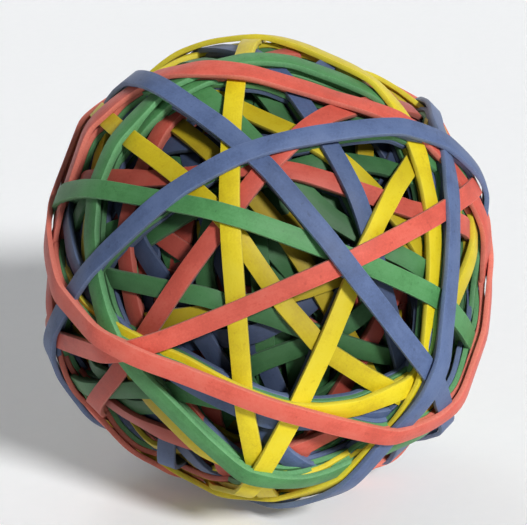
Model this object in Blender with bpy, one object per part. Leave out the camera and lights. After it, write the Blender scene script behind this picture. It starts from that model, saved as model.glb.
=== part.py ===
"""A rubber band ball: flat bands of four colours, wound one over another round a packed core.

Every band is one closed loop under tension. It follows its own path round the ball. At each place it lies
on the bands that were wound before it, or runs straight from one high spot to the next, as a taut loop does.
The bands are made in winding order, so each one only has to clear what is already laid.
"""

import math
import random

import bmesh
import bpy
import numpy as np
from mathutils import Matrix, Vector

# Driving dimensions, in metres
CORE_RADIUS = 0.0285  # the inner windings, which are too deep to be told apart
BAND_WIDTH = 0.0029  # of a 3.2 mm band, narrowed by its stretch
BAND_THICKNESS = 0.0007
LAY_GAP = 0.00012  # between a band and the highest thing under it
SIDE_MARGIN = 0.00005  # a band also clears what lies this close beside it

# How finely a band is made
PATH_SAMPLES = 360
FINE_SAMPLES = 1440  # of a path that isn't evenly divided yet
MOST_BENDS = 21  # bends of one band before its long straights are divided
LONGEST_STEP = math.radians(23)
CORE_SUBDIVISIONS = 3
SURFACE_STEP = 0.0008  # spacing of the points that stand for a laid band's outer face
SURFACE_LANES = 5

# The view that the band traces were picked in, in pixels: +X is right and -Y faces the viewer
TRACE_CENTRE_PX = (261.5, 266.6)
TRACE_RADIUS_PX = 229.6
VIEW_DISTANCE_RADII = 10.0  # from the viewer to the ball's centre
VIEW_PITCH = math.radians(12)  # how far the viewer looks down on the ball

# The inner bands, which show only between the outer ones
INNER_TURNS = 16
INNER_WANDER = math.radians(1.7)  # the most that each term of the series bends an inner loop
INNER_WANDER_TERMS = 5
INNER_AXIS_RISE = 0.5  # the axes of the inner loops stay this near level, because few outer ones stand upright
ASIDE = (0.3, 0.5, 0.8)  # a direction that none of those axes has
GOLDEN_ANGLE = math.pi * (3 - math.sqrt(5))
SEED = 7

# A loop's wander from its great circle is a short Fourier series, kept smooth
WANDER_WAVES = 6
WANDER_STIFFNESS = 0.004

# The ball rests on the steadiest group of high spots this close to its underside
SEAT_SEARCH = math.radians(10)
FLAT_WITHIN = math.radians(0.5)  # facets of the ball's outline this near one plane are one facet

SHARP_FROM = math.radians(40)  # edges that bend more than this are shaded sharp

COLOURS = {
    "red": (0.62, 0.075, 0.05),
    "yellow": (0.72, 0.56, 0.02),
    "green": (0.06, 0.25, 0.09),
    "blue": (0.08, 0.11, 0.27),
}
INNER_COLOURS = ("green", "yellow", "blue", "red", "green", "blue", "yellow", "red", "green", "red", "blue")
CORE_COLOUR = (0.035, 0.035, 0.03)
RUBBER_ROUGHNESS = 0.62

# Centre lines of the bands that show, picked by eye in the view, innermost first
TRACES = (
    ("green", ((262, 93), (254, 110), (248, 130), (190, 262), (192, 290), (200, 312))),
    ("green", ((325, 150), (336, 168))),
    ("blue", ((380, 160), (398, 172), (415, 195))),
    ("blue", ((262, 345), (290, 335), (345, 290))),
    ("yellow", ((192, 128), (212, 145), (262, 195), (275, 212))),
    ("green", ((245, 388), (272, 376), (300, 360), (345, 345), (370, 335), (395, 305), (412, 293))),
    ("red", ((372, 378), (385, 355), (430, 262))),
    ("green", ((355, 150), (375, 150), (395, 156))),
    ("red", ((240, 464), (330, 445), (365, 433), (430, 415))),
    ("blue", ((130, 262), (146, 290), (170, 314), (195, 350))),
    ("yellow", ((285, 302), (315, 293), (372, 270))),
    ("red", ((132, 153), (118, 172), (109, 215), (106, 250), (108, 285), (118, 315))),
    ("green", ((172, 295), (195, 300), (222, 306), (262, 320))),
    ("yellow", ((262, 106), (280, 114), (296, 123), (360, 162), (375, 175), (388, 188))),
    ("green", ((300, 178), (318, 195), (338, 212), (356, 222))),
    ("yellow", ((138, 414), (155, 430), (182, 447), (215, 460))),
    ("green", ((258, 69), (290, 67), (320, 72), (350, 83), (375, 93), (420, 118))),
    ("red", ((125, 170), (160, 172), (205, 163), (270, 162), (300, 166), (325, 171), (347, 182), (380, 194),
             (415, 205))),
    ("blue", ((336, 145), (352, 175), (371, 222), (395, 290), (402, 325), (412, 358))),
    ("green", ((112, 403), (140, 403), (175, 402), (205, 410))),
    ("red", ((97, 395), (118, 368), (148, 328), (165, 297), (183, 268), (212, 232), (240, 200), (257, 175),
             (310, 122), (335, 112), (355, 103), (375, 98))),
    ("blue", ((165, 378), (190, 393), (215, 405), (262, 420), (300, 425), (340, 425))),
    ("yellow", ((130, 139), (150, 152), (175, 172), (197, 190), (265, 275), (289, 310), (312, 347), (335, 362),
                (345, 368), (365, 380), (382, 388))),
    ("yellow", ((247, 50), (240, 75), (232, 110), (229, 190), (234, 290), (236, 330), (241, 375), (252, 440))),
    ("yellow", ((410, 175), (388, 210), (373, 238), (354, 300), (342, 325), (322, 362), (304, 398))),
    ("yellow", ((60, 300), (150, 353), (250, 396), (300, 408), (345, 409), (372, 404), (390, 393), (408, 376),
                (440, 352), (455, 329), (465, 302))),
    ("green", ((157, 108), (130, 122), (110, 140), (95, 160), (85, 176), (78, 205), (79, 235), (88, 268),
               (104, 318), (128, 365), (148, 392), (170, 413), (195, 433), (240, 456), (270, 464), (300, 466),
               (330, 464), (365, 453))),
    ("yellow", ((310, 47), (345, 63), (372, 80), (388, 97), (403, 117), (419, 149), (430, 170), (436, 205))),
    ("red", ((61, 175), (68, 152), (82, 132), (105, 112), (130, 98), (185, 86), (230, 81), (260, 81), (300, 90),
             (340, 101), (380, 118), (412, 127), (443, 157), (455, 170), (467, 188), (476, 205), (482, 225))),
    ("green", ((55, 190), (85, 186), (110, 190), (135, 194), (175, 204), (205, 207), (235, 215), (300, 241),
               (385, 270), (425, 293), (458, 315), (471, 342))),
    ("red", ((62, 348), (90, 352), (120, 352), (150, 345), (180, 337), (220, 321), (260, 304), (300, 286),
             (330, 272), (400, 237), (425, 224), (443, 213))),
    ("blue", ((128, 86), (160, 97), (200, 115), (235, 135), (265, 165), (293, 197), (320, 232), (352, 275),
              (380, 310), (405, 345))),
    ("blue", ((437, 112), (441, 150), (449, 190), (450, 240), (446, 280), (437, 320), (425, 352), (397, 403))),
    ("blue", ((56, 376), (45, 350), (55, 320), (68, 292), (92, 265), (115, 235), (140, 213), (185, 187),
              (240, 156), (300, 139), (350, 133), (400, 137), (440, 148), (465, 168), (480, 205))),
    ("red", ((42, 265), (52, 290), (78, 314), (100, 330), (150, 353), (200, 376), (250, 396), (300, 408),
             (340, 416), (370, 420), (400, 418), (430, 404), (450, 380), (468, 350))),
)


def unit(vectors):
    return vectors / np.linalg.norm(vectors, axis=-1, keepdims=True)


def seen_direction(pixel):
    """The direction, from the ball's centre, of the point of the ball that shows at this pixel of the view."""
    focal = TRACE_RADIUS_PX * math.sqrt(VIEW_DISTANCE_RADII**2 - 1)
    right = (pixel[0] - TRACE_CENTRE_PX[0]) / focal
    up = (TRACE_CENTRE_PX[1] - pixel[1]) / focal
    ray = unit(np.array([right, 1.0, up]))
    eye = np.array([0.0, -VIEW_DISTANCE_RADII, 0.0])
    along = -eye @ ray
    beside_squared = VIEW_DISTANCE_RADII**2 - along**2
    depth = math.sqrt(max(1.0 - beside_squared, 0.0))
    return unit(eye + (along - depth) * ray)


def waves(angles):
    """The terms of the wander series at these angles, one row for each angle."""
    terms = [np.ones_like(angles)]
    for wave in range(1, WANDER_WAVES + 1):
        terms += [np.cos(wave * angles), np.sin(wave * angles)]
    return np.stack(terms, axis=1)


class Path:
    """A closed loop of directions round the ball, evenly sampled along its length."""

    def __init__(self, normal, start, series):
        across = np.cross(normal, start)
        angles = np.linspace(0, math.tau, FINE_SAMPLES, endpoint=False)
        wander = waves(angles) @ series
        level = np.cos(angles)[:, None] * start + np.sin(angles)[:, None] * across
        points = np.cos(wander)[:, None] * level + np.sin(wander)[:, None] * normal
        steps = np.linalg.norm(np.roll(points, -1, axis=0) - points, axis=1)
        lengths = np.concatenate([[0.0], np.cumsum(steps)])
        self.fine = np.vstack([points, points[:1]])
        self.fine_angles = lengths / lengths[-1] * math.tau
        self.angles = np.arange(PATH_SAMPLES) * math.tau / PATH_SAMPLES
        self.out = self.direction(self.angles)
        self.side = self.sideways(self.angles)

    def direction(self, angles):
        turned = np.mod(angles, math.tau)
        columns = [np.interp(turned, self.fine_angles, self.fine[:, axis]) for axis in range(3)]
        return unit(np.stack(columns, axis=-1))

    def sideways(self, angles):
        step = math.tau / PATH_SAMPLES
        along = self.direction(angles + step) - self.direction(angles - step)
        return unit(np.cross(self.direction(angles), along))


def traced_path(pixels):
    """The smoothest loop through picked points of the view."""
    seen = np.array([seen_direction(pixel) for pixel in pixels])
    normal = np.cross(seen[0], seen[-1]) if len(seen) < 3 else np.linalg.svd(seen)[2][2]
    normal = unit(normal)
    start = unit(seen[0] - (seen[0] @ normal) * normal)
    angles = np.arctan2(seen @ np.cross(normal, start), seen @ start)
    heights = np.arcsin(np.clip(seen @ normal, -1, 1))
    strengths = np.repeat(np.arange(WANDER_WAVES + 1) ** 2, 2)[1:] * WANDER_STIFFNESS * len(seen)
    known = np.vstack([waves(angles), np.diag(np.maximum(strengths, WANDER_STIFFNESS))])
    wanted = np.concatenate([heights, np.zeros(len(strengths))])
    return Path(normal, start, np.linalg.lstsq(known, wanted, rcond=None)[0])


def inner_path(turn, chance):
    """One of the inner loops, whose axes are spread evenly round a belt of the sphere."""
    height = ((turn + 0.5) / INNER_TURNS * 2 - 1) * INNER_AXIS_RISE
    ring = math.sqrt(1 - height**2)
    normal = np.array([ring * math.cos(turn * GOLDEN_ANGLE), ring * math.sin(turn * GOLDEN_ANGLE), height])
    start = unit(np.cross(normal, ASIDE))
    series = np.zeros(2 * WANDER_WAVES + 1)
    series[:INNER_WANDER_TERMS] = [chance.uniform(-1, 1) * INNER_WANDER for _ in range(INNER_WANDER_TERMS)]
    return Path(normal, start, series)


def needed_radius(path, laid):
    """How far out a band's inner face has to be, at each sample of its path, to clear what is laid."""
    need = np.full(PATH_SAMPLES, CORE_RADIUS)
    nearest = np.argmax(laid @ path.out.T, axis=1)
    aside = np.abs(np.einsum("ij,ij->i", laid, path.side[nearest]))
    height = np.einsum("ij,ij->i", laid, path.out[nearest])
    under = aside < BAND_WIDTH / 2 + SIDE_MARGIN
    np.maximum.at(need, nearest[under], height[under])
    widened = np.maximum(need, np.maximum(np.roll(need, 1), np.roll(need, -1)))
    return widened + LAY_GAP


def cross(first, second):
    return first[0] * second[1] - first[1] * second[0]


def hull(points):
    """The convex outline of points in a plane, counter-clockwise."""
    ordered = sorted(map(tuple, points))
    outline = []
    for sequence in (ordered, ordered[::-1]):
        chain = []
        for point in sequence:
            while len(chain) > 1 and cross(np.subtract(chain[-1], chain[-2]), np.subtract(point, chain[-1])) <= 0:
                chain.pop()
            chain.append(point)
        outline += chain[:-1]
    return [np.array(point) for point in outline]


def meeting(a, b, c, d):
    """Where the line from a to b meets the line from c to d, and how far along the first it is."""
    along, other = b - a, d - c
    share = cross(c - a, other) / cross(along, other)
    return a + share * along


def eased(outline):
    """The outline with its shortest sides taken off, their neighbours run on until they meet."""
    corners = list(outline)
    while len(corners) > MOST_BENDS:
        costs = []
        for i, start in enumerate(corners):
            before, end, after = corners[i - 1], corners[(i + 1) % len(corners)], corners[(i + 2) % len(corners)]
            apex = meeting(before, start, after, end)
            outward = cross(end - start, apex - start) < 0
            costs.append(abs(cross(end - start, apex - start)) if outward else math.inf)
        i = int(np.argmin(costs))
        before, start = corners[i - 1], corners[i]
        end, after = corners[(i + 1) % len(corners)], corners[(i + 2) % len(corners)]
        corners[i] = meeting(before, start, after, end)
        corners.pop((i + 1) % len(corners))
    return corners


def divided(outline):
    """The outline with its long straights divided, so that a band can follow its path between two bends."""
    corners = []
    for start, end in zip(outline, outline[1:] + outline[:1]):
        turn = math.atan2(cross(start, end), start @ end)
        parts = max(1, math.ceil(turn / LONGEST_STEP))
        corners += [start + (end - start) * part / parts for part in range(parts)]
    return np.array(corners)


def laid_band(path, laid):
    """A taut band on this path: its corners, as stations x (inner left, inner right, outer right, outer left)."""
    need = needed_radius(path, laid)
    flat = np.stack([need * np.cos(path.angles), need * np.sin(path.angles)], axis=1)
    bends = divided(eased(hull(flat)))
    angles = np.arctan2(bends[:, 1], bends[:, 0])
    radii = np.linalg.norm(bends, axis=1)
    out = path.direction(angles)
    half = path.sideways(angles) * BAND_WIDTH / 2
    inner = out * radii[:, None]
    outer = inner + out * BAND_THICKNESS
    return np.stack([inner - half, inner + half, outer + half, outer - half], axis=1)


def outer_points(corners):
    """Points all over a laid band's outer face."""
    ends = np.roll(corners, -1, axis=0)
    steps = max(2, math.ceil(np.linalg.norm(ends - corners, axis=2).max() / SURFACE_STEP))
    along = np.linspace(0, 1, steps, endpoint=False)[:, None, None, None]
    rows = corners[:, 2:] + along * (ends - corners)[:, 2:]
    lanes = np.linspace(0, 1, SURFACE_LANES)[:, None, None, None]
    return (rows[..., 0, :] + lanes * (rows[..., 1, :] - rows[..., 0, :])).reshape(-1, 3)


def wind():
    """Every band in winding order, as (colour, corners)."""
    chance = random.Random(SEED)
    plans = [(INNER_COLOURS[turn % len(INNER_COLOURS)], inner_path(turn, chance)) for turn in range(INNER_TURNS)]
    plans += [(colour, traced_path(pixels)) for colour, pixels in TRACES]
    bands = []
    laid = np.zeros((1, 3))
    for colour, path in plans:
        corners = laid_band(path, laid)
        bands.append((colour, corners))
        laid = np.vstack([laid, outer_points(corners)])
    return bands


def seat_turn(points):
    """The turn that sets the ball down on the steadiest group of high spots near its underside."""
    shape = bmesh.new()
    for point in points:
        shape.verts.new(point)
    made = bmesh.ops.convex_hull(shape, input=shape.verts)
    inside = {item for item in made["geom_interior"] if isinstance(item, bmesh.types.BMVert)}
    bmesh.ops.delete(shape, geom=list(inside), context="VERTS")
    bmesh.ops.dissolve_limit(shape, angle_limit=FLAT_WITHIN, verts=shape.verts, edges=shape.edges)
    down = Vector((0.0, math.sin(VIEW_PITCH), -math.cos(VIEW_PITCH)))
    steadiest, seat = 0.0, down
    for face in shape.faces:
        if face.normal.angle(down) > SEAT_SEARCH:
            continue
        foot = face.normal * face.normal.dot(face.verts[0].co)
        margins = [
            (foot - loop.vert.co).dot(face.normal.cross(loop.link_loop_next.vert.co - loop.vert.co).normalized())
            for loop in face.loops
        ]
        if min(margins) > steadiest:
            steadiest, seat = min(margins), face.normal.copy()
    shape.free()
    return seat.rotation_difference(Vector((0.0, 0.0, -1.0)))


def rubber(name, colour):
    material = bpy.data.materials.new(name)
    material.use_nodes = True
    shader = material.node_tree.nodes["Principled BSDF"]
    shader.inputs["Base Color"].default_value = (*colour, 1.0)
    shader.inputs["Roughness"].default_value = RUBBER_ROUGHNESS
    shader.inputs["Metallic"].default_value = 0.0
    material.diffuse_color = (*colour, 1.0)
    return material


def add_piece(name, mesh, material, parent):
    piece = bpy.data.objects.new(name, mesh)
    piece.parent = parent
    mesh.materials.append(material)
    bpy.context.scene.collection.objects.link(piece)


def band_mesh(name, corners):
    """A closed ring of rectangular section, one rectangle at each station."""
    shape = bmesh.new()
    rings = [[shape.verts.new(corner) for corner in station] for station in corners]
    for ring, following in zip(rings, rings[1:] + rings[:1]):
        for side in range(4):
            after = (side + 1) % 4
            shape.faces.new((ring[side], ring[after], following[after], following[side]))
    bmesh.ops.recalc_face_normals(shape, faces=shape.faces)
    mesh = bpy.data.meshes.new(name)
    shape.to_mesh(mesh)
    shape.free()
    mesh.shade_smooth()
    mesh.set_sharp_from_angle(angle=SHARP_FROM)
    return mesh


def core_mesh(name):
    shape = bmesh.new()
    bmesh.ops.create_icosphere(shape, subdivisions=CORE_SUBDIVISIONS, radius=CORE_RADIUS)
    mesh = bpy.data.meshes.new(name)
    shape.to_mesh(mesh)
    shape.free()
    mesh.shade_smooth()
    return mesh


def main():
    for old in list(bpy.data.objects):
        bpy.data.objects.remove(old, do_unlink=True)
    bands = wind()
    points = np.concatenate([corners.reshape(-1, 3) for _, corners in bands])
    turn = seat_turn(points).to_matrix()
    turned = points @ np.array(turn).T
    low, high = turned.min(axis=0), turned.max(axis=0)
    ball = bpy.data.objects.new("ball", None)
    bpy.context.scene.collection.objects.link(ball)
    ball.matrix_world = Matrix.Translation(
        (-(low[0] + high[0]) / 2, -(low[1] + high[1]) / 2, -low[2])
    ) @ turn.to_4x4()
    add_piece("wound_core", core_mesh("wound_core"), rubber("core_rubber", CORE_COLOUR), ball)
    materials = {colour: rubber(colour + "_rubber", value) for colour, value in COLOURS.items()}
    for number, (colour, corners) in enumerate(bands, start=1):
        name = f"band_{number:02d}_{colour}"
        add_piece(name, band_mesh(name, corners), materials[colour], ball)


main()
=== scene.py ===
"""Looks of the rubber band ball: each band as a fine strip of dusty rubber, over densely packed windings."""

import math
import random

import bpy
import numpy as np
from mathutils import Matrix, Vector


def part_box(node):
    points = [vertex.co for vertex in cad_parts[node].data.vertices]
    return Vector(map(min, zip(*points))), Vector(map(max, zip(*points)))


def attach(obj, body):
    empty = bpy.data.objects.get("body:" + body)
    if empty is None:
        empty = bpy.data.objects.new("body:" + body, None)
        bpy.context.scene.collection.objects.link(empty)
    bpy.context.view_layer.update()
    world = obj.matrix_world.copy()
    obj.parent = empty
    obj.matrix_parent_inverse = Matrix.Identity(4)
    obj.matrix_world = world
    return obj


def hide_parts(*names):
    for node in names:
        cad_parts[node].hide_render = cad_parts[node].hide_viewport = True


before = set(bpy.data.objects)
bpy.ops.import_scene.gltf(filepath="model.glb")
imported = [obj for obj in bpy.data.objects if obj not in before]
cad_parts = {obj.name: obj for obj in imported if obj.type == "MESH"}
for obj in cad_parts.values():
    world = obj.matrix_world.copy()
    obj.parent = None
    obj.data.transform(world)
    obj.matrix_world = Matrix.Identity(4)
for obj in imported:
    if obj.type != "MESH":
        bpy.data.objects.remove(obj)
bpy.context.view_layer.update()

# The ball, in metres
CORE_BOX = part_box("wound_core")
CENTRE = np.array((CORE_BOX[0] + CORE_BOX[1]) / 2)
CORE_RADIUS = (CORE_BOX[1].x - CORE_BOX[0].x) / 2
OUTER_RADIUS = 0.0373  # about where the outermost bands lie
SEEN_RADIUS = 0.0363  # mean radius of the outline that the camera sees
SEED = 11

# How finely a strip is made
ANGLE_SAMPLES = 720  # cuts through a solid band, to find its middle line
STATION_STEP = 0.0010  # from one cut of a strip to the next
INNER_STATION_STEP = 0.0013
FEWEST_STATIONS = 24
EDGE_ROUND = 0.00012  # the rounding of a cut edge
CORNER_STEPS = 2
INNER_CORNER_STEPS = 1
SHARP_ANGLE = math.radians(28)

# How a strip departs from its solid
BEND_SPREAD = 0.0009  # how far a bend over a crossing is spread along the strip
CREST_REACH = 0.005  # a crest swells the straights beside it as far as this
CREST_SPREAD = 0.003
MOST_SWELL = 0.0007
SWELL_SHARE = 0.6
EXTRA_DEPTH = 0.00014  # a strip is this much thicker, inwards, where it presses on what it crosses
WIDTH_CHANGE = 0.05  # share by which the stretch changes a strip's width along it
WIDTH_CHANGE_LENGTH = 0.012
LANES = np.linspace(-0.45, 0.45, 7)  # places across a strip, as shares of its width

# How a strip leans on an uneven bed
TOUCH_DEPTH = 0.0006  # deeper than this, the bed isn't felt
MOST_LEAN = math.radians(13)
LEAN_SPREAD = 0.0022

# The relief maps: radii held in cells of direction
CELLS = 150
NOWHERE = 1.0  # the ceiling's radius where nothing lies above

# The innermost windings: a ball with the ridges of buried strips
CORE_SUBDIVISIONS = 6
CORE_SUNK = 0.0006
RIDGES = 26
RIDGE_HALF_WIDTH = 0.0014
RIDGE_HEIGHTS = np.linspace(0.0001, 0.0005, RIDGES)

# The windings packed close under a traced band where it spans a gap
FIRST_TRACED = 17  # number of the first band that was traced from the photograph
PACKING_LAYERS = 3
PACKING_COLOURS = {2: "green", 3: "blue"}  # the first layer has the traced band's own colour
PACKING_SHARE = 0.08  # the least share of a band's length that spans a gap of this depth
PACKING_FULL = 0.8  # a gap holds a layer from this share of the layer's depth
PACKING_WIDTH = 0.50  # share of the traced band's width: these windings lie narrow and drawn together
PACKING_WANDER = 0.0002
PACKING_WAVES = 5
PACKING_SPREAD = 0.0016
LAYER_GAP = 0.00002  # between a winding and what lies over it

# The inner windings, between the solids' inner loops and the traced bands
FILL_LOOPS = 120
FILL_START = (0.31, 0.52, 0.80)  # a loop starts square to this direction
FILL_WANDER = math.radians(7)
FILL_WAVES = 3
FILL_STRIDE = 43  # loops that follow each other lie far apart
FILL_REACH = 0.020  # a strip feels what presses it down this far on each side
FILL_SLOPE = 0.38  # the steepest that it climbs away from there
FILL_SPREAD = 0.0014
FILL_CEILING = OUTER_RADIUS - 0.0006
FILL_SUNK = 0.0012  # the deepest that a winding lies in the core
FILL_LEAN = math.radians(7)
FILL_LEAN_LENGTH = 0.004
FILL_COLOURS = ("green", "blue", "yellow", "red", "blue", "green", "red", "yellow")
GOLDEN_ANGLE = math.pi * (3 - math.sqrt(5))

# Rubber colours in daylight, as linear red, green and blue
RUBBER = {
    "red": {"face": (0.68, 0.110, 0.072), "dust": (0.80, 0.32, 0.24), "shade": (0.34, 0.040, 0.026)},
    "yellow": {"face": (0.75, 0.60, 0.008), "dust": (0.82, 0.75, 0.10), "shade": (0.44, 0.28, 0.004)},
    "green": {"face": (0.078, 0.275, 0.086), "dust": (0.21, 0.47, 0.24), "shade": (0.018, 0.080, 0.024)},
    "blue": {"face": (0.085, 0.130, 0.265), "dust": (0.21, 0.28, 0.44), "shade": (0.022, 0.035, 0.082)},
}
# The innermost windings in near-black: painted shade for the dark deep inside the ball, where the windings
# are coloured rubber
CORE_PAINTED_SHADE_RUBBER = {"face": (0.020, 0.020, 0.018), "dust": (0.05, 0.05, 0.045), "shade": (0.008, 0.008, 0.008)}

# The noises of the rubber's surface
MOTTLE = {"scale": 260.0, "detail": 3.0, "roughness": 0.6}  # features of about 4 mm
PATCH = {"scale": 90.0, "detail": 2.0}
FINE = {"scale": 3200.0, "detail": 3.0, "roughness": 0.65}  # features of about 0.3 mm
STREAK = {"scale": 2400.0, "detail": 2.0}
STREAK_SHRINK = 0.06  # the streaks' noise is drawn out along the strip by shrinking its length
FLECK = {"scale": 1300.0, "detail": 1.0}
FLECK_FROM = 0.66
FLECK_HARDNESS = 9.0
NOISE_MIDDLE = 0.5

# How far each of them makes the rubber lighter or darker
MOTTLE_SHARE = 1.1
PATCH_SHARE = 0.7
STREAK_SHARE = 0.3
FINE_SHARE = 0.75
FLECK_SHARE = -0.3
TONE_SHARE = 0.10  # of one strip against the others

# What lightness does: below the first level the colour turns to its shade, above the second to its dust
SHADE_BELOW = 0.05
DUST_ABOVE = -0.02
DUST_SHARE = 0.45
CUT_DUST_AND_HIGHLIGHT = 0.12  # more dust on the cut sides, and a painted highlight
CUT_DUST_AND_HIGHLIGHT_GRAIN = 0.5

# Painted shade on what lies deep: the deeper a strip lies, the darker it is painted
PAINTED_SHADE_DEPTH = 0.0046  # down to here it grows
PAINTED_SHADE_SHARE = 0.72
PAINTED_SHADE_GROWTH = 1.4
PAINTED_SHADE_TINT = 0.30  # how bright it is against the shade of the rubber's own colour

# The rubber's gloss and relief
RUBBER_SHADER = {"Metallic": 0.0, "Specular IOR Level": 0.38, "Sheen Weight": 0.08, "Sheen Roughness": 0.45}
ROUGHNESS = 0.48
GRAIN_ROUGHNESS = 0.22
BUMP_STRENGTH = 0.55
BUMP_DEPTH = 0.00006
STREAK_BUMP = 0.5
GRAIN_BUMP = 0.7

# The stage: a floor of pale paper that sweeps up behind
STAGE_FRONT = -1.5
STAGE_BACK = 1.2
STAGE_HALF_WIDTH = 2.5
STAGE_HEIGHT = 2.0
SWEEP_RADIUS = 0.6
SWEEP_STEPS = 12
PAPER_TINTS = ((0.86, 0.87, 0.88), (0.89, 0.895, 0.90))
PAPER_GRAIN = {"scale": 400.0, "detail": 3.0}
PAPER_GLOW = 0.10  # what the camera sees of the paper beyond the light that falls on it
PAPER_SHADER = {"Roughness": 0.9, "Specular IOR Level": 0.1}

# The lamps, as disks: place and size in metres, power in watts
LAMPS = {
    "key_light": {"place": (3.80, -6.40, 4.69), "size": 1.44, "power": 848.0},
    "fill_light": {"place": (-1.7, -1.2, 1.1), "size": 1.8, "power": 0.8},
    "back_light": {"place": (-0.5, 1.3, 1.9), "size": 0.9, "power": 5.0},
}
SKY_COLOUR = (0.93, 0.96, 1.0, 1.0)
SKY_STRENGTH = 0.11

# The camera, placed as the photograph was taken
PHOTO_WIDTH_PX = 527
PHOTO_HEIGHT_PX = 525
BALL_CENTRE_PX = (261.0, 265.0)
BALL_RADIUS_PX = 229.6
SENSOR_WIDTH = 36.0
VIEW_DISTANCE_RADII = 10.0
VIEW_TURN = math.radians(0.52)
VIEW_RISE = math.radians(20.86)
VIEW_ROLL = math.radians(2.84)


def unit(vectors):
    return vectors / np.linalg.norm(vectors, axis=-1, keepdims=True)


def middle_of(values):
    return (values.min() + values.max()) / 2


def loop_angles(count):
    return np.arange(count) * math.tau / count


def loop_length(points):
    return float(np.linalg.norm(np.roll(points, -1, axis=0) - points, axis=1).sum())


def spread(values, length, reach):
    """Values along a closed loop, smoothed over this reach."""
    waves = np.fft.rfftfreq(len(values), d=length / len(values))
    keep = np.exp(-0.5 * (math.tau * waves * reach) ** 2)
    keep = keep.reshape(-1, *[1] * (values.ndim - 1))
    return np.fft.irfft(np.fft.rfft(values, axis=0) * keep, n=len(values), axis=0)


def slow_noise(points, reach, chance):
    """A value between -1 and 1 for each point of a closed loop, changing over about this reach."""
    noise = np.array([chance.gauss(0, 1) for _ in points])
    noise = spread(noise, loop_length(points), reach)
    return noise / np.abs(noise).max()


def wander(angles, reach, waves, chance):
    """Slow waves to the left and right round a loop."""
    return sum(
        chance.uniform(-1, 1) * reach / (wave + 1) * np.cos(wave * angles + chance.uniform(0, math.tau))
        for wave in range(waves + 1)
    )


def rounded_out(points):
    """A strip's line with its straights swelled towards the crests beside them, as by what it lies on."""
    radii = np.linalg.norm(points, axis=1)
    stations = round(CREST_REACH / STATION_STEP)
    crest = np.maximum.reduce([np.roll(radii, shift) for shift in range(-stations, stations + 1)])
    crest = spread(crest, loop_length(points), CREST_SPREAD)
    swell = np.clip(crest - radii, 0.0, MOST_SWELL) * SWELL_SHARE
    return points * (1 + swell / radii)[:, None]


def evenly(points, step):
    """A closed loop of points sampled again at even spacing."""
    closed = np.vstack([points, points[:1]])
    lengths = np.concatenate([[0.0], np.cumsum(np.linalg.norm(np.diff(closed, axis=0), axis=1))])
    count = max(FEWEST_STATIONS, round(lengths[-1] / step))
    places = np.arange(count) * lengths[-1] / count
    return np.stack([np.interp(places, lengths, closed[:, axis]) for axis in range(3)], axis=1)


def directions(points):
    """For each point of a line: out from the ball, square to the line, and sideways."""
    along = unit(np.roll(points, -1, axis=0) - np.roll(points, 1, axis=0))
    out = unit(points)
    out = unit(out - np.einsum("ij,ij->i", out, along)[:, None] * along)
    return out, np.cross(along, out)


def mesh_points(mesh):
    points = np.zeros(len(mesh.vertices) * 3)
    mesh.vertices.foreach_get("co", points)
    return points.reshape(-1, 3)


def mesh_edges(mesh):
    """The point numbers of each edge's first end, and of its second."""
    edges = np.zeros(len(mesh.edges) * 2, dtype=int)
    mesh.edges.foreach_get("vertices", edges)
    return edges.reshape(-1, 2).T


def solid_line(mesh):
    """The middle line, width and thickness of a CAD band, measured on cuts through its mesh."""
    points = mesh_points(mesh) - CENTRE
    first, second = mesh_edges(mesh)
    hub = points.mean(axis=0)
    normal = np.linalg.svd(points - hub)[2][2]
    start = unit(np.cross(normal, points[0] - hub))
    plane = np.stack([start, np.cross(normal, start)])
    level = (points - hub) @ plane.T
    middles, cuts = [], []
    for angle in loop_angles(ANGLE_SAMPLES):
        ray = np.array([math.cos(angle), math.sin(angle)])
        beside = level[:, 0] * ray[1] - level[:, 1] * ray[0]
        ahead = level @ ray > 0
        crossing = ((beside[first] < 0) != (beside[second] < 0)) & ahead[first] & ahead[second]
        a, b = first[crossing], second[crossing]
        share = (beside[a] / (beside[a] - beside[b]))[:, None]
        cut = points[a] + share * (points[b] - points[a])
        radius = middle_of((cut - hub) @ (ray @ plane))
        height = middle_of((cut - hub) @ normal)
        middles.append(hub + radius * (ray @ plane) + height * normal)
        cuts.append(cut)
    middles = np.array(middles)
    outs, sides = directions(middles)
    depths = [np.ptp(cut @ out) for cut, out in zip(cuts, outs)]
    widths = [np.ptp(cut @ side) for cut, side in zip(cuts, sides)]
    return middles, float(np.median(widths)), float(np.median(depths))


class Relief:
    """A radius for each direction from the ball's centre."""

    def __init__(self, start):
        self.radii = np.full((CELLS, CELLS, CELLS), start)

    def cells(self, points):
        return tuple(((unit(points) + 1) / 2 * (CELLS - 1)).round().astype(int).reshape(-1, 3).T)

    def read(self, points):
        return self.radii[self.cells(points)].reshape(points.shape[:-1])

    def lift(self, points):
        radii = np.linalg.norm(points, axis=-1).reshape(-1)
        np.maximum.at(self.radii, self.cells(points), radii)

    def lower(self, points):
        radii = np.linalg.norm(points, axis=-1).reshape(-1)
        np.minimum.at(self.radii, self.cells(points), radii)


def lanes_of(points, width, height):
    """Points all over one face of a strip, at this height above its middle line, as stations x lanes."""
    out, side = directions(points)
    across = LANES[None, :, None] * width * side[:, None, :]
    return points[:, None, :] + out[:, None, :] * height + across


def lean_over(room, width, length):
    """How a strip tips sideways at each station, from the room under each of its lanes."""
    felt = np.maximum(TOUCH_DEPTH - room, 0.0)
    weights = np.minimum(felt.max(axis=1) / TOUCH_DEPTH, 1.0)
    middle = len(LANES) // 2
    left = felt[:, :middle].max(axis=1)
    right = felt[:, middle + 1 :].max(axis=1)
    slope = (right - left) / (width / 2) * weights
    return np.clip(np.arctan(spread(slope, length, LEAN_SPREAD)), -MOST_LEAN, MOST_LEAN)


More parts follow.
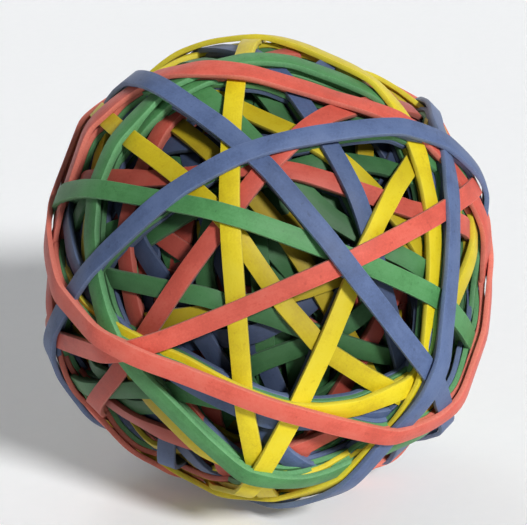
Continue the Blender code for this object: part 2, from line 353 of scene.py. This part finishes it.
def section(width, thickness, steps):
    """The outline of a strip's cut: (across, out) points of a rectangle with rounded corners."""
    outline = []
    for quarter, (right, high) in enumerate(((1, 1), (-1, 1), (-1, -1), (1, -1))):
        middle = np.array([right * (width / 2 - EDGE_ROUND), high * (thickness / 2 - EDGE_ROUND)])
        for step in range(steps + 1):
            turn = (quarter + step / steps) * math.pi / 2
            outline.append(middle + EDGE_ROUND * np.array([math.cos(turn), math.sin(turn)]))
    return np.array(outline)


class Strip:
    """One closed strip: its middle line, how it leans, and its section."""

    def __init__(self, points, width, thickness, lean, steps, chance):
        self.points = points
        self.width = width
        self.thickness = thickness
        self.lean = lean
        self.stretch = 1 + WIDTH_CHANGE * slow_noise(points, WIDTH_CHANGE_LENGTH, chance)
        self.outline = section(width, thickness, steps)
        self.tone = chance.uniform(-1, 1)

    def rings(self):
        """The strip's points as stations x outline points."""
        out, side = directions(self.points)
        cosine, sine = np.cos(self.lean)[:, None], np.sin(self.lean)[:, None]
        tipped_side = side * cosine + out * sine
        tipped_out = out * cosine - side * sine
        across = self.outline[None, :, 0] * self.stretch[:, None]
        high = self.outline[None, :, 1] / self.stretch[:, None]
        offset = across[..., None] * tipped_side[:, None] + high[..., None] * tipped_out[:, None]
        return self.points[:, None] + offset

    def faces(self):
        """Rows of four point numbers, for the faces between neighbouring rings."""
        index = np.arange(len(self.points) * len(self.outline)).reshape(len(self.points), -1)
        after = np.roll(index, -1, axis=0)
        corners = [index, after, np.roll(after, -1, axis=1), np.roll(index, -1, axis=1)]
        return np.stack(corners, axis=2).reshape(-1, 4)

    def cut_sides(self):
        """For each face, from 0 where it is broad side to 1 where it is cut side."""
        sides = np.roll(self.outline, -1, axis=0) - self.outline
        return np.tile(np.abs(sides[:, 1]) / np.linalg.norm(sides, axis=1), len(self.points))

    def grain(self):
        """A seamless place for each point: round the loop, shrunk along it, and across the strip."""
        turns = loop_angles(len(self.points))
        reach = loop_length(self.points) / math.tau * STREAK_SHRINK
        ring = np.stack([np.cos(turns) * reach, np.sin(turns) * reach], axis=1)
        steps = np.linalg.norm(np.diff(self.outline, axis=0, prepend=self.outline[:1]), axis=1)
        across = np.cumsum(steps) + self.tone
        shape = (len(turns), len(steps))
        ring = np.broadcast_to(ring[:, None, :], (*shape, 2))
        across = np.broadcast_to(across[None, :, None], (*shape, 1))
        return np.concatenate([ring, across], axis=2)


class Nodes:
    """A few shorthands for wiring a material."""

    def __init__(self, name):
        self.material = bpy.data.materials.new(name)
        self.material.use_nodes = True
        self.tree = self.material.node_tree
        self.shader = self.tree.nodes["Principled BSDF"]

    def set(self, values):
        for name, value in values.items():
            self.shader.inputs[name].default_value = value

    def add(self, kind, **settings):
        node = self.tree.nodes.new(kind)
        for key, value in settings.items():
            setattr(node, key, value)
        return node

    def link(self, source, target):
        if hasattr(source, "is_output"):
            self.tree.links.new(source, target)
        else:
            target.default_value = source

    def math(self, operation, first, second=0.0, third=0.0, clamp=False):
        node = self.add("ShaderNodeMath", operation=operation, use_clamp=clamp)
        for socket, value in zip(node.inputs, (first, second, third)):
            self.link(value, socket)
        return node.outputs[0]

    def attribute(self, name, output="Fac"):
        return self.add("ShaderNodeAttribute", attribute_name=name).outputs[output]

    def noise(self, vector, scale, detail, roughness=0.5):
        node = self.add("ShaderNodeTexNoise")
        self.link(vector, node.inputs["Vector"])
        node.inputs["Scale"].default_value = scale
        node.inputs["Detail"].default_value = detail
        node.inputs["Roughness"].default_value = roughness
        return node.outputs["Fac"]

    def mix(self, factor, first, second):
        node = self.add("ShaderNodeMix", data_type="RGBA")
        self.link(factor, node.inputs["Factor"])
        colours = [socket for socket in node.inputs if socket.type == "RGBA"]
        for socket, value in zip(colours, (first, second)):
            self.link((*value, 1.0) if isinstance(value, tuple) else value, socket)
        return next(socket for socket in node.outputs if socket.type == "RGBA")


def rubber_level(n, place, fine, streak):
    """How light or dark the rubber is at each place: 0 is neither."""
    mottle = n.noise(place, **MOTTLE)
    patch = n.noise(place, **PATCH)
    level = 0.0
    for noise, share in (
        (mottle, MOTTLE_SHARE),
        (patch, PATCH_SHARE),
        (streak, STREAK_SHARE),
        (fine, FINE_SHARE),
    ):
        level = n.math("MULTIPLY_ADD", n.math("SUBTRACT", noise, NOISE_MIDDLE), share, level)
    fleck = n.math("SUBTRACT", n.noise(place, **FLECK), FLECK_FROM)
    fleck = n.math("MULTIPLY", fleck, FLECK_HARDNESS, clamp=True)
    level = n.math("MULTIPLY_ADD", fleck, FLECK_SHARE, level)
    return n.math("MULTIPLY_ADD", n.attribute("tone"), TONE_SHARE, level)


def rubber_colour(n, look, level, fine):
    """The rubber's own colour with its shade, its dust, cut sides paler with dust and a painted highlight,
    and painted shade that darkens what lies deep down.
    """
    shade = n.math("SUBTRACT", SHADE_BELOW, level, clamp=True)
    colour = n.mix(shade, look["face"], look["shade"])
    dust = n.math("SUBTRACT", level, DUST_ABOVE, clamp=True)
    colour = n.mix(n.math("MULTIPLY", dust, DUST_SHARE), colour, look["dust"])
    # Cut sides paler: partly real dust, partly a painted highlight where the sides catch the light
    cut_dust_and_highlight = n.math("MULTIPLY_ADD", fine, CUT_DUST_AND_HIGHLIGHT_GRAIN, CUT_DUST_AND_HIGHLIGHT)
    cut_dust_and_highlight = n.math("MULTIPLY", n.attribute("cut_side"), cut_dust_and_highlight, clamp=True)
    colour = n.mix(cut_dust_and_highlight, colour, look["dust"])
    # Painted shade: the deeper a point lies under the outermost bands, the darker its colour, towards a dim
    # copy of its shade colour
    painted_shade = n.math("POWER", n.attribute("depth"), PAINTED_SHADE_GROWTH)
    painted_shade_colour = tuple(part * PAINTED_SHADE_TINT for part in look["shade"])
    return n.mix(n.math("MULTIPLY", painted_shade, PAINTED_SHADE_SHARE), colour, painted_shade_colour)


def rubber_material(name, look):
    """Matt rubber with a dusty bloom: mottled, finely grained, and streaked along the strip."""
    n = Nodes(name)
    place = n.add("ShaderNodeTexCoord").outputs["Object"]
    fine = n.noise(place, **FINE)
    streak = n.noise(n.attribute("grain", "Vector"), **STREAK)
    level = rubber_level(n, place, fine, streak)
    n.link(rubber_colour(n, look, level, fine), n.shader.inputs["Base Color"])
    n.link(n.math("MULTIPLY_ADD", fine, GRAIN_ROUGHNESS, ROUGHNESS), n.shader.inputs["Roughness"])
    n.set(RUBBER_SHADER)
    bump = n.add("ShaderNodeBump")
    bump.inputs["Strength"].default_value = BUMP_STRENGTH
    bump.inputs["Distance"].default_value = BUMP_DEPTH
    relief = n.math("MULTIPLY_ADD", streak, STREAK_BUMP, n.math("MULTIPLY", fine, GRAIN_BUMP))
    n.link(relief, bump.inputs["Height"])
    n.link(bump.outputs["Normal"], n.shader.inputs["Normal"])
    return n.material


MATERIALS = {colour: rubber_material(colour + "_rubber", look) for colour, look in RUBBER.items()}


def add_attribute(mesh, name, kind, domain, values):
    field = "vector" if kind == "FLOAT_VECTOR" else "value"
    mesh.attributes.new(name, kind, domain).data.foreach_set(field, values.ravel())


def strip_piece(name, strips, colour):
    """One object from closed strips, with the attributes that its material reads."""
    counts = [len(strip.points) * len(strip.outline) for strip in strips]
    starts = np.cumsum([0, *counts[:-1]])
    faces = np.concatenate([strip.faces() + start for strip, start in zip(strips, starts)])
    points = np.concatenate([strip.rings().reshape(-1, 3) for strip in strips])
    # How deep each point lies, for the painted shade on what lies deep
    depths = np.clip((OUTER_RADIUS - np.linalg.norm(points, axis=1)) / PAINTED_SHADE_DEPTH, 0.0, 1.0)
    grain = np.concatenate([strip.grain().reshape(-1, 3) for strip in strips])
    points = points + CENTRE
    points[:, 2] = np.maximum(points[:, 2], 0.0)
    mesh = bpy.data.meshes.new(name)
    mesh.from_pydata(points.tolist(), [], faces.tolist())
    add_attribute(mesh, "cut_side", "FLOAT", "FACE", np.concatenate([s.cut_sides() for s in strips]))
    add_attribute(mesh, "tone", "FLOAT", "POINT", np.repeat([s.tone for s in strips], counts))
    add_attribute(mesh, "depth", "FLOAT", "POINT", depths)
    add_attribute(mesh, "grain", "FLOAT_VECTOR", "POINT", grain)
    mesh.shade_smooth()
    mesh.set_sharp_from_angle(angle=SHARP_ANGLE)
    mesh.materials.append(MATERIALS[colour])
    piece = bpy.data.objects.new(name, mesh)
    bpy.context.scene.collection.objects.link(piece)
    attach(piece, "root")
    return piece


def wind_band(name, bed, chance):
    """Replaces a CAD band by its strip on the bed: gives its colour, the strip and the room under it."""
    colour = name.rsplit("_", 1)[1]
    middles, width, thickness = solid_line(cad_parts[name].data)
    points = rounded_out(evenly(middles, STATION_STEP))
    points = spread(points, loop_length(points), BEND_SPREAD)
    points = points - directions(points)[0] * EXTRA_DEPTH / 2
    thickness += EXTRA_DEPTH
    under = lanes_of(points, width, -thickness / 2)
    room = np.linalg.norm(under, axis=-1) - bed.read(under)
    lean = lean_over(room, width, loop_length(points))
    bed.lift(lanes_of(points, width, thickness / 2))
    strip = Strip(points, width, thickness, lean, CORNER_STEPS, chance)
    piece = strip_piece(name.replace("band", "strip"), [strip], colour)
    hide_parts(name)
    return colour, strip, room.min(axis=1)


def packed_under(strip, room, depth, chance):
    """A winding at this depth under a strip, and deeper still where the strip lies on others."""
    points = strip.points
    aside = wander(loop_angles(len(points)), PACKING_WANDER, PACKING_WAVES, chance)
    crowded = 1 - np.clip(room / (depth * PACKING_FULL), 0.0, 1.0)
    radii = np.linalg.norm(points, axis=1) - depth - crowded * strip.thickness
    radii = spread(radii, loop_length(points), PACKING_SPREAD)
    middle = unit(points + directions(points)[1] * aside[:, None]) * radii[:, None]
    width = strip.width * PACKING_WIDTH
    return Strip(middle, width, strip.thickness, strip.lean, INNER_CORNER_STEPS, chance)


def packing_strips(wound, chance):
    """Windings that fill the gaps under the traced bands, layer by layer: {colour: strips}."""
    packing = {colour: [] for colour in RUBBER}
    for colour, strip, room in wound:
        for layer in range(1, PACKING_LAYERS + 1):
            depth = layer * (strip.thickness + LAYER_GAP)
            if np.mean(room > depth * PACKING_FULL) > PACKING_SHARE:
                winding = packed_under(strip, room, depth, chance)
                packing[PACKING_COLOURS.get(layer, colour)].append(winding)
    return packing


def fill_axis(number):
    """The axis of one of the inner windings: they are spread evenly over half the sphere."""
    height = (number + 0.5) / FILL_LOOPS
    ring = math.sqrt(1 - height**2)
    angle = number * GOLDEN_ANGLE
    return np.array([ring * math.cos(angle), ring * math.sin(angle), height])


def fill_path(axis, chance):
    """A loop of directions round the ball that wanders about a great circle."""
    start = unit(np.cross(axis, FILL_START))
    angles = loop_angles(round(math.tau * CORE_RADIUS / INNER_STATION_STEP))
    aside = wander(angles, FILL_WANDER, FILL_WAVES, chance)[:, None]
    level = np.cos(angles)[:, None] * start + np.sin(angles)[:, None] * np.cross(axis, start)
    return np.cos(aside) * level + np.sin(aside) * axis


def slung(roof):
    """The highest radii along a loop that stay under a roof and nowhere climb steeply, as a taut strip."""
    stations = round(FILL_REACH / INNER_STATION_STEP)
    climb = FILL_SLOPE * INNER_STATION_STEP
    return np.minimum.reduce(
        [np.roll(roof, shift) + climb * abs(shift) for shift in range(-stations, stations + 1)]
    )


def fill_strips(ceiling, width, thickness, chance):
    """The inner windings, each slung close under what is already there: {colour: strips}."""
    strips = {colour: [] for colour in RUBBER}
    for turn in range(FILL_LOOPS):
        path = fill_path(fill_axis(turn * FILL_STRIDE % FILL_LOOPS), chance)
        lanes = lanes_of(path, width / OUTER_RADIUS, 0.0)
        roof = np.minimum(ceiling.read(lanes).min(axis=1), FILL_CEILING)
        middle = spread(slung(roof), math.tau * OUTER_RADIUS, FILL_SPREAD) - thickness / 2 - LAYER_GAP
        points = path * np.maximum(middle, CORE_RADIUS - FILL_SUNK)[:, None]
        ceiling.lower(lanes_of(points, width, -thickness / 2))
        lean = FILL_LEAN * slow_noise(points, FILL_LEAN_LENGTH, chance)
        colour = FILL_COLOURS[turn % len(FILL_COLOURS)]
        strips[colour].append(Strip(points, width, thickness, lean, INNER_CORNER_STEPS, chance))
    return strips


def make_core():
    """The innermost windings: a near-black ball, painted shade for the deep inside, with the ridges of
    buried strips.
    """
    bpy.ops.mesh.primitive_ico_sphere_add(subdivisions=CORE_SUBDIVISIONS, radius=CORE_RADIUS)
    core = bpy.context.active_object
    core.name = core.data.name = "inner_core"
    chance = random.Random(SEED)
    axes = unit(np.array([[chance.gauss(0, 1) for _ in range(3)] for _ in range(RIDGES)]))
    points = mesh_points(core.data)
    ridges = (np.abs(points @ axes.T) < RIDGE_HALF_WIDTH) * RIDGE_HEIGHTS
    points = unit(points) * (CORE_RADIUS - CORE_SUNK + ridges.max(axis=1))[:, None] + CENTRE
    core.data.vertices.foreach_set("co", points.ravel())
    core.data.shade_smooth()
    core.data.materials.append(rubber_material("core_rubber", CORE_PAINTED_SHADE_RUBBER))
    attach(core, "root")
    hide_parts("wound_core")


def make_ball():
    """All the bands in winding order, and then what fills the ball under them."""
    chance = random.Random(SEED)
    names = sorted(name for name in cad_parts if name.startswith("band_"))
    bed, ceiling = Relief(CORE_RADIUS), Relief(NOWHERE)
    make_core()
    wound = [wind_band(name, bed, chance) for name in names]
    traced = wound[FIRST_TRACED - 1 :]
    for _, strip, _ in traced:
        ceiling.lower(lanes_of(strip.points, strip.width, -strip.thickness / 2))
    outermost = traced[-1][1]
    packing = packing_strips(traced, chance)
    filling = fill_strips(ceiling, outermost.width, outermost.thickness, chance)
    for kind, windings in (("packed_windings_", packing), ("inner_windings_", filling)):
        for colour, strips in windings.items():
            strip_piece(kind + colour, strips, colour)


def paper_material():
    """Pale paper that shows a little brighter than it is lit, and keeps the shadow that falls on it."""
    n = Nodes("stage_paper")
    place = n.add("ShaderNodeTexCoord").outputs["Object"]
    paper = n.mix(n.noise(place, **PAPER_GRAIN), *PAPER_TINTS)
    n.link(paper, n.shader.inputs["Base Color"])
    n.link(paper, n.shader.inputs["Emission Color"])
    rays = n.add("ShaderNodeLightPath").outputs
    seen = n.math("MAXIMUM", rays["Is Camera Ray"], rays["Is Glossy Ray"])
    seen = n.math("MAXIMUM", seen, rays["Is Transmission Ray"])
    n.link(n.math("MULTIPLY", seen, PAPER_GLOW), n.shader.inputs["Emission Strength"])
    n.set(PAPER_SHADER)
    return n.material


def make_stage():
    """A pale floor that sweeps up into a backdrop."""
    profile = [(STAGE_FRONT, 0.0), (STAGE_BACK, 0.0)]
    for step in range(1, SWEEP_STEPS + 1):
        turn = step / SWEEP_STEPS * math.pi / 2
        profile.append((STAGE_BACK + SWEEP_RADIUS * math.sin(turn), SWEEP_RADIUS * (1 - math.cos(turn))))
    profile.append((STAGE_BACK + SWEEP_RADIUS, STAGE_HEIGHT))
    points = [(x, y, z) for y, z in profile for x in (-STAGE_HALF_WIDTH, STAGE_HALF_WIDTH)]
    faces = [(2 * i, 2 * i + 1, 2 * i + 3, 2 * i + 2) for i in range(len(profile) - 1)]
    mesh = bpy.data.meshes.new("stage_floor")
    mesh.from_pydata(points, [], faces)
    mesh.shade_smooth()
    mesh.materials.append(paper_material())
    floor = bpy.data.objects.new("stage_floor", mesh)
    bpy.context.scene.collection.objects.link(floor)


def add_lamp(name, place, size, power):
    data = bpy.data.lights.new(name, "AREA")
    data.shape = "DISK"
    data.size = size
    data.energy = power
    lamp = bpy.data.objects.new(name, data)
    lamp.location = place
    aim = Vector(CENTRE) - Vector(place)
    lamp.rotation_euler = aim.to_track_quat("-Z", "Y").to_euler()
    bpy.context.scene.collection.objects.link(lamp)


def make_lights():
    for name, lamp in LAMPS.items():
        add_lamp(name, **lamp)
    world = bpy.data.worlds.new("studio")
    bpy.context.scene.world = world
    world.use_nodes = True
    sky = world.node_tree.nodes["Background"].inputs
    sky["Color"].default_value = SKY_COLOUR
    sky["Strength"].default_value = SKY_STRENGTH


def make_camera():
    """A camera that sees the ball where the photograph shows it, and as large."""
    focal_px = BALL_RADIUS_PX * math.sqrt(VIEW_DISTANCE_RADII**2 - 1)
    distance = VIEW_DISTANCE_RADII * SEEN_RADIUS
    level = Vector((math.sin(VIEW_TURN), -math.cos(VIEW_TURN), 0.0))
    across = Vector((math.cos(VIEW_TURN), math.sin(VIEW_TURN), 0.0))
    back = level * math.cos(VIEW_RISE) + Vector((0.0, 0.0, math.sin(VIEW_RISE)))
    level_up = back.cross(across)
    up = level_up * math.cos(VIEW_ROLL) + across * math.sin(VIEW_ROLL)
    right = across * math.cos(VIEW_ROLL) - level_up * math.sin(VIEW_ROLL)
    metres_per_px = distance / focal_px
    aside = (PHOTO_WIDTH_PX / 2 - BALL_CENTRE_PX[0]) * metres_per_px
    above = (BALL_CENTRE_PX[1] - PHOTO_HEIGHT_PX / 2) * metres_per_px
    data = bpy.data.cameras.new("camera")
    data.sensor_width = SENSOR_WIDTH
    data.lens = focal_px / PHOTO_WIDTH_PX * SENSOR_WIDTH
    camera = bpy.data.objects.new("camera", data)
    place = Vector(CENTRE) + right * aside + up * above + back * distance
    camera.matrix_world = Matrix.Translation(place) @ Matrix((right, up, back)).transposed().to_4x4()
    bpy.context.scene.collection.objects.link(camera)
    bpy.context.scene.camera = camera


make_ball()
make_stage()
make_lights()
make_camera()
bpy.context.scene.view_settings.view_transform = "Standard"
